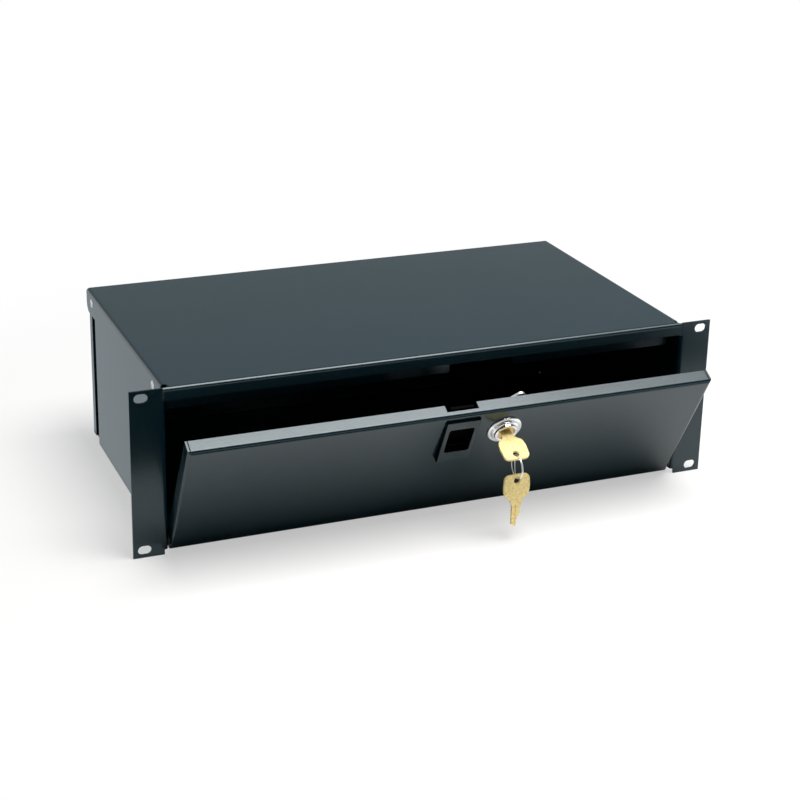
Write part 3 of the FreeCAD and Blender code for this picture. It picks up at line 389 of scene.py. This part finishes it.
for angle, step, steps in (flat_turn, crossing, flat_turn):
    run = bmesh.ops.spin(build, geom=end_face, cent=(0, 0, 0), axis=(1, 0, 0), angle=math.radians(angle),
                         dvec=(step, 0, 0), steps=steps, use_merge=False, use_duplicate=False)
    end_face = [part for part in run["geom_last"] if isinstance(part, bmesh.types.BMFace)]
inner = [face for face in build.faces if all(len(side.link_faces) > 2 for side in face.edges)]
bmesh.ops.delete(build, geom=inner, context="FACES_ONLY")
bmesh.ops.recalc_face_normals(build, faces=build.faces)
bmesh.ops.rotate(build, cent=(0, 0, 0), matrix=Matrix.Rotation(RING_TURN, 3, "X"), verts=build.verts)
for vert in build.verts:
    if vert.co.x > 0:
        past_start = max(vert.co.y / RING_RADIUS - SPLAY_START, 0.0)
        vert.co.x += RING_SPLAY * past_start / (1 - SPLAY_START)
bmesh.ops.translate(build, vec=ring_middle, verts=build.verts)
ring = finished_piece("split_ring", build, pale_zinc, "ring")
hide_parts("key_ring")


# The box stands on a floor with a round wall far behind it, both painted white. The floor
# keeps the box's shadow, softened for the camera, and fades to plain white further out.
def staged(name, build):
    mesh = bpy.data.meshes.new(name)
    build.to_mesh(mesh)
    build.free()
    item = bpy.data.objects.new(name, mesh)
    bpy.context.collection.objects.link(item)
    return item


def flat_stage(name, corner, far_corner, height, turn=0.0):
    build = bmesh.new()
    bmesh.ops.create_grid(build, x_segments=1, y_segments=1, size=0.5)
    size = (far_corner[0] - corner[0], far_corner[1] - corner[1], 1)
    middle = ((corner[0] + far_corner[0]) / 2, (corner[1] + far_corner[1]) / 2, height)
    bmesh.ops.scale(build, vec=size, verts=build.verts)
    bmesh.ops.rotate(build, cent=(0, 0, 0), matrix=Matrix.Rotation(turn, 3, "Z"), verts=build.verts)
    bmesh.ops.translate(build, vec=middle, verts=build.verts)
    return staged(name, build)


def soft_ramp(shade, value, start, end, low=0.0, high=1.0):
    inputs = {"Value": value, "From Min": start, "From Max": end, "To Min": low, "To Max": high}
    return shade.node("ShaderNodeMapRange", {"interpolation_type": "SMOOTHSTEP"}, inputs)


FLOOR_WHITE = (0.96, 0.96, 0.96, 1)
floor_paint, shader, shade, place = new_finish("floor_paint", 0.0, Base_Color=FLOOR_WHITE, Roughness=0.9,
                                               Specular_IOR_Level=0.0)
distance = shade.node("ShaderNodeVectorMath", {"operation": "LENGTH"}, {0: place}, "Value")
camera_ray = shade.node("ShaderNodeLightPath", {}, {}, "Is Camera Ray")
seen = camera_ray
for ray in ("Is Glossy Ray", "Is Transmission Ray"):
    seen = shade.maths("MAXIMUM", seen, shade.node("ShaderNodeLightPath", {}, {}, ray))
far_floor = soft_ramp(shade, distance, 0.55, 1.2)
open_floor = soft_ramp(shade, distance, 0.3, 0.7, 0.5, 1.0)
whiteness = shade.maths("MAXIMUM", far_floor * seen, open_floor * camera_ray)
painted = Shade(shade.tree, shader.outputs[0])
white = shade.node("ShaderNodeEmission", {}, {"Color": (1, 1, 1, 1), "Strength": 1.0})
ground = shade.node("ShaderNodeMixShader", {}, {0: whiteness, 1: painted, 2: white})
feed(shade.tree.nodes["Material Output"], Surface=ground)

FLOOR_HEIGHT = cad_box[0][2]
FLOOR_REACH = 9.0
floor = flat_stage("floor", (-FLOOR_REACH, -FLOOR_REACH), (FLOOR_REACH, FLOOR_REACH), FLOOR_HEIGHT)
floor.data.materials.append(floor_paint)

WALL_HEIGHT = 2.0
WALL_SIDES = 96
build = bmesh.new()
bmesh.ops.create_circle(build, cap_ends=False, segments=WALL_SIDES, radius=FLOOR_REACH)
bmesh.ops.translate(build, vec=(0, 0, FLOOR_HEIGHT), verts=build.verts)
raised = bmesh.ops.extrude_edge_only(build, edges=build.edges)["geom"]
wall_top = [part for part in raised if isinstance(part, bmesh.types.BMVert)]
bmesh.ops.translate(build, vec=(0, 0, WALL_HEIGHT), verts=wall_top)
backdrop = staged("backdrop", build)
backdrop.data.materials.append(floor_paint)


# Two cards lie on the floor and show only in what mirrors them, so they paint reflections: a dark one in front
# paints a dark reflection into the lip and the ears, and a pale one at the left glows, though it is no lamp,
# and paints a bright reflection into the case's side.
CARD_LIFT = 1.0 * MM
CARD_BLACK = (0.004, 0.004, 0.004, 1)
CARD_GLOW = (0.84, 0.945, 1.0, 1)


def reflection_painting_card(name, corner, far_corner, turn, glow):
    card = flat_stage(name, corner, far_corner, FLOOR_HEIGHT + CARD_LIFT, turn)
    card.visible_camera = False
    card.visible_diffuse = False
    card.visible_shadow = False
    finish = new_finish(name, 0.0, Base_Color=CARD_BLACK, Roughness=1.0, Specular_IOR_Level=0.0,
                        Emission_Color=CARD_GLOW, Emission_Strength=glow)
    card.data.materials.append(finish[0])


# The dark card is a painted dark reflection, and the pale card's glow is a painted bright reflection.
reflection_painting_card("dark_reflection_card", (-0.58, -0.72), (0.42, -0.165), turn=math.radians(-6), glow=0.0)
reflection_painting_card("glowing_reflection_card", (-0.62, -0.02), (-0.2165, 0.75), turn=0.0, glow=0.73)


# The light is a pale sky behind the box that darkens to its horizon, a long soft lamp in two
# lengths above the door, and a weak fill at the left.
SKY_LOW, SKY_HIGH = (0.78, 0.93, 1.0, 1), (1, 1, 1, 1)
SKY_DIM, SKY_GAIN = 0.03, 0.38
world = bpy.data.worlds.new("studio")
bpy.context.scene.world = world
world.use_nodes = True
shade = Shade(world.node_tree)
aim = shade.node("ShaderNodeTexCoord", {}, {}, "Generated")
height = shade.node("ShaderNodeSeparateXYZ", {}, {"Vector": aim}, "Z")
depth = shade.node("ShaderNodeSeparateXYZ", {}, {"Vector": aim}, "Y")
behind = soft_ramp(shade, depth, -0.25, 0.35)
horizon = soft_ramp(shade, height, 0.09, 0.34)
zenith = soft_ramp(shade, height, 0.36, 0.8)
feed(world.node_tree.nodes["Background"],
     Color=blend_colours(shade, zenith, SKY_LOW, SKY_HIGH),
     Strength=SKY_DIM + SKY_GAIN * horizon * behind)

LAMP_WHITE = (1.0, 0.98, 0.96)


def lamp(name, place, aim, size, power):
    data = bpy.data.lights.new(name, "AREA")
    data.shape = "RECTANGLE"
    data.size, data.size_y = size
    data.energy = power
    data.color = LAMP_WHITE
    item = bpy.data.objects.new(name, data)
    item.location = place
    item.rotation_euler = (Vector(aim) - Vector(place)).to_track_quat("-Z", "Y").to_euler()
    bpy.context.collection.objects.link(item)


lamp("overhead", place=(0.295, -0.3, 1.45), aim=(0.295, -0.3, 0), size=(0.89, 1.0), power=26.5)
lamp("overhead_end", place=(0.93, -0.3, 1.45), aim=(0.93, -0.3, 0), size=(0.38, 1.0), power=6.3)
lamp("left_fill", place=(-1.3, 0.3, 1.2), aim=(-0.3, 0.15, -0.06), size=(0.8, 0.8), power=1.2)


# The camera stands where the photograph was taken from, to the left of the box and a little
# above it, with the photograph's lens.
AZIMUTH, ELEVATION, ROLL = math.radians(-22.789), math.radians(19.429), math.radians(1.283)
CAMERA_DISTANCE = 1352.64 * MM
CAMERA_TARGET = Vector((-31.4 * MM, 0, 96.84 * MM))
SENSOR_WIDTH = 36.0
PICTURE_WIDTH = 800
FOCAL_PIXELS = 1797.94
camera_data = bpy.data.cameras.new("photo_camera")
camera = bpy.data.objects.new("photo_camera", camera_data)
bpy.context.collection.objects.link(camera)
bpy.context.scene.camera = camera
away = Vector((math.sin(AZIMUTH) * math.cos(ELEVATION),
               -math.cos(AZIMUTH) * math.cos(ELEVATION),
               math.sin(ELEVATION)))
swing = Matrix.Rotation(AZIMUTH, 4, "Z")
tilt = Matrix.Rotation(math.pi / 2 - ELEVATION, 4, "X")
lean = Matrix.Rotation(ROLL, 4, "Z")
camera.matrix_world = Matrix.Translation(CAMERA_TARGET + away * CAMERA_DISTANCE) @ swing @ tilt @ lean
camera_data.sensor_width = SENSOR_WIDTH
camera_data.lens = SENSOR_WIDTH * FOCAL_PIXELS / PICTURE_WIDTH
camera_data.shift_y = -0.1
camera_data.clip_end = 30.0

bpy.context.scene.view_settings.view_transform = "Standard"
